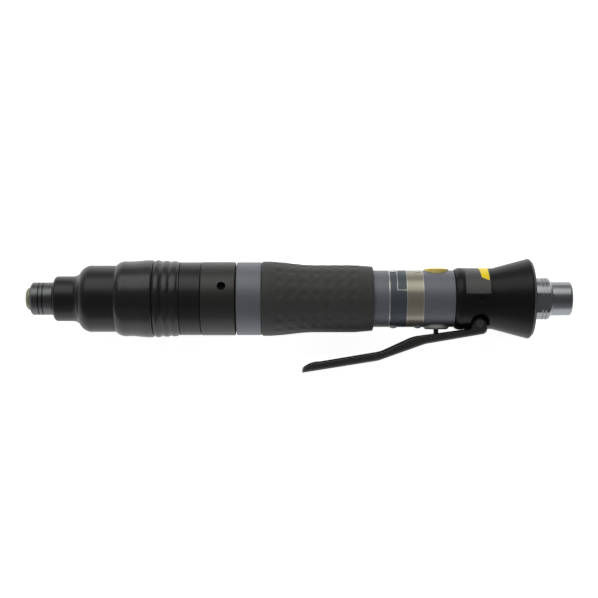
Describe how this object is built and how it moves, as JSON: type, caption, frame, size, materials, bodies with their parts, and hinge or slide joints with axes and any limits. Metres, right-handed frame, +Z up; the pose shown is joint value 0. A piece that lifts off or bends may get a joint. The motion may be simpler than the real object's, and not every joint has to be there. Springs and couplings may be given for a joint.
{
  "type": "pneumatic screwdriver",
  "caption": "Straight air screwdriver with a bit chuck, ribbed clutch cover, rubber grip, start lever, thumb reverse button and flared exhaust bell.",
  "frame": {"origin": "centre of the spindle's nose face, on the tool axis", "axes": "+X along the tool towards the air inlet, +Z up; the tool lies on a table, on its ribbed cover, the rim of its exhaust bell and the edge of its lever, which points to -Y and down"},
  "size_m": [0.2607, 0.0548, 0.0384],
  "materials": {
    "spindle_steel": "yellow passivated",
    "ball_steel": "polished",
    "sleeve_steel": "black oxide on steel, satin",
    "spring_steel": "bright drawn",
    "black_anodised": "black anodised, satin",
    "bearing_steel": "ground",
    "bronze": "plain",
    "seal_rubber": "matt",
    "black_cover": "smooth satin",
    "machined_steel": "turned",
    "dark_steel": "phosphated steel, satin",
    "gear_steel": "hobbed and hardened",
    "vane_fibre": "pressed fibre",
    "cast_end_plate": "ground",
    "grey_anodised": "grey anodised, satin",
    "grip_rubber": "dimpled, matt",
    "plate_aluminium": "printed foil, bare of words",
    "rivet_aluminium": "bright",
    "bushing_steel": "turned",
    "brass": "turned",
    "black_steel": "black oxide on steel",
    "black_gloss": "black lacquer on aluminium",
    "porous_plastic": "sintered",
    "nickel_steel": "nickel plated",
    "lever_steel": "blackened sheet steel",
    "screw_steel": "dark zinc"
  },
  "bodies": {
    "tool_body": {"clutch_housing": "black_anodised", "front_bearing_outer": "bearing_steel", "bearing_retainer": "spring_steel", "thrust_washer": "bronze", "cover_o_ring": "seal_rubber", "lock_ring": "black_anodised", "gear_ring": "dark_steel", "carrier_bearing_outer": "bearing_steel", "motor_housing": "grey_anodised", "front_end_plate": "cast_end_plate", "motor_cylinder": "machined_steel", "rear_end_plate": "cast_end_plate", "rotor_front_bearing_outer": "bearing_steel", "rotor_rear_bearing_outer": "bearing_steel", "grip": "grip_rubber", "name_plate": "plate_aluminium", "plate_rivets": "rivet_aluminium", "throttle_bushing": "bushing_steel", "valve_seat": "brass", "throttle_spring": "spring_steel", "reverse_spring": "spring_steel", "rear_housing": "black_gloss", "set_screws": "black_steel", "silencer": "porous_plastic", "inlet_bushing": "nickel_steel", "inlet_screen": "brass", "lever_pivot_screw": "screw_steel"},
    "spindle": {"spindle": "spindle_steel", "bit_ball": "ball_steel", "chuck_snap_ring": "spring_steel", "chuck_spring": "spring_steel", "front_bearing_inner": "bearing_steel"},
    "chuck_sleeve": {"chuck_sleeve": "sleeve_steel"},
    "clutch_plate": {"clutch_plate": "machined_steel", "clutch_balls": "ball_steel"},
    "output_carrier": {"output_carrier": "machined_steel", "drive_keys": "machined_steel", "adjusting_nut": "machined_steel", "clutch_spring": "spring_steel", "carrier_bearing_inner": "bearing_steel", "output_planet_pins": "bearing_steel"},
    "input_carrier": {"input_carrier": "machined_steel", "input_planet_pins": "bearing_steel"},
    "rotor": {"rotor": "machined_steel", "rotor_vanes": "vane_fibre", "rotor_front_bearing_inner": "bearing_steel", "rotor_rear_bearing_inner": "bearing_steel"},
    "clutch_cover": {"clutch_cover": "black_cover"},
    "lever": {"lever": "lever_steel"},
    "throttle_pin": {"throttle_pin": "black_steel"},
    "reverse_button": {"reverse_button": "brass", "button_o_ring": "seal_rubber"},
    "output_planet_1": {"output_planet_1": "gear_steel"},
    "input_planet_1": {"input_planet_1": "gear_steel"},
    "output_planet_2": {"output_planet_2": "gear_steel"},
    "input_planet_2": {"input_planet_2": "gear_steel"},
    "output_planet_3": {"output_planet_3": "gear_steel"},
    "input_planet_3": {"input_planet_3": "gear_steel"}
  },
  "joints": [
    {"name": "rotor_spin", "type": "hinge", "parent": "tool_body", "child": "rotor", "pos_m": [0.128, 0, 0], "axis": [1, 0, 0], "continuous": true},
    {"name": "input_carrier_spin", "type": "hinge", "parent": "tool_body", "child": "input_carrier", "pos_m": [0.093, 0, 0], "axis": [1, 0, 0], "continuous": true},
    {"name": "output_carrier_spin", "type": "hinge", "parent": "tool_body", "child": "output_carrier", "pos_m": [0.078, 0, 0], "axis": [1, 0, 0], "continuous": true},
    {"name": "spindle_spin", "type": "hinge", "parent": "tool_body", "child": "spindle", "pos_m": [0.02, 0, 0], "axis": [1, 0, 0], "continuous": true},
    {"name": "input_planet_1_spin", "type": "hinge", "parent": "input_carrier", "child": "input_planet_1", "pos_m": [0.0975, 0.00801, 0.00253], "axis": [1, 0, 0], "continuous": true},
    {"name": "output_planet_1_spin", "type": "hinge", "parent": "output_carrier", "child": "output_planet_1", "pos_m": [0.0884, 0.00801, 0.00253], "axis": [1, 0, 0], "continuous": true},
    {"name": "input_planet_2_spin", "type": "hinge", "parent": "input_carrier", "child": "input_planet_2", "pos_m": [0.0975, -0.00619, 0.00568], "axis": [1, 0, 0], "continuous": true},
    {"name": "output_planet_2_spin", "type": "hinge", "parent": "output_carrier", "child": "output_planet_2", "pos_m": [0.0884, -0.00619, 0.00568], "axis": [1, 0, 0], "continuous": true},
    {"name": "input_planet_3_spin", "type": "hinge", "parent": "input_carrier", "child": "input_planet_3", "pos_m": [0.0975, -0.00182, -0.0082], "axis": [1, 0, 0], "continuous": true},
    {"name": "output_planet_3_spin", "type": "hinge", "parent": "output_carrier", "child": "output_planet_3", "pos_m": [0.0884, -0.00182, -0.0082], "axis": [1, 0, 0], "continuous": true},
    {"name": "sleeve_pull", "type": "slide", "parent": "spindle", "child": "chuck_sleeve", "axis": [-1, 0, 0], "range_m": [0, 0.0022], "stiffness_N_per_m": 1500, "springref_m": -0.002, "deforming": ["chuck_spring"]},
    {"name": "clutch_release", "type": "slide", "parent": "output_carrier", "child": "clutch_plate", "axis": [1, 0, 0], "range_m": [0, 0.0012], "stiffness_N_per_m": 8000, "springref_m": -0.005, "deforming": ["clutch_spring"]},
    {"name": "cover_slide", "type": "slide", "parent": "tool_body", "child": "clutch_cover", "axis": [-1, 0, 0], "range_m": [0, 0.01]},
    {"name": "lever_press", "type": "hinge", "parent": "tool_body", "child": "lever", "pos_m": [0.2161, -0.01116, -0.00352], "axis": [0, 0.3007, -0.9537], "range_deg": [0, 8], "stiffness_Nm_per_rad": 0.8, "springref_deg": -3.44},
    {"name": "throttle_pin_slide", "type": "slide", "parent": "tool_body", "child": "throttle_pin", "axis": [0, 0.9537, 0.3007], "range_m": [0, 0.0029], "deforming": ["throttle_spring"]},
    {"name": "reverse_button_press", "type": "slide", "parent": "tool_body", "child": "reverse_button", "axis": [0, -0.9537, -0.3007], "range_m": [0, 0.0014], "stiffness_N_per_m": 800, "springref_m": -0.002, "deforming": ["reverse_spring"]}
  ],
  "couplings": [
    {"joint": "input_carrier_spin", "follows": "rotor_spin", "ratio": 0.25},
    {"joint": "output_carrier_spin", "follows": "rotor_spin", "ratio": 0.0625},
    {"joint": "spindle_spin", "follows": "rotor_spin", "ratio": 0.0625},
    {"joint": "input_planet_1_spin", "follows": "rotor_spin", "ratio": -0.75},
    {"joint": "output_planet_1_spin", "follows": "rotor_spin", "ratio": -0.1875},
    {"joint": "input_planet_2_spin", "follows": "rotor_spin", "ratio": -0.75},
    {"joint": "output_planet_2_spin", "follows": "rotor_spin", "ratio": -0.1875},
    {"joint": "input_planet_3_spin", "follows": "rotor_spin", "ratio": -0.75},
    {"joint": "output_planet_3_spin", "follows": "rotor_spin", "ratio": -0.1875},
    {"joint": "throttle_pin_slide", "follows": "lever_press", "m_per_rad": 0.0205}
  ]
}
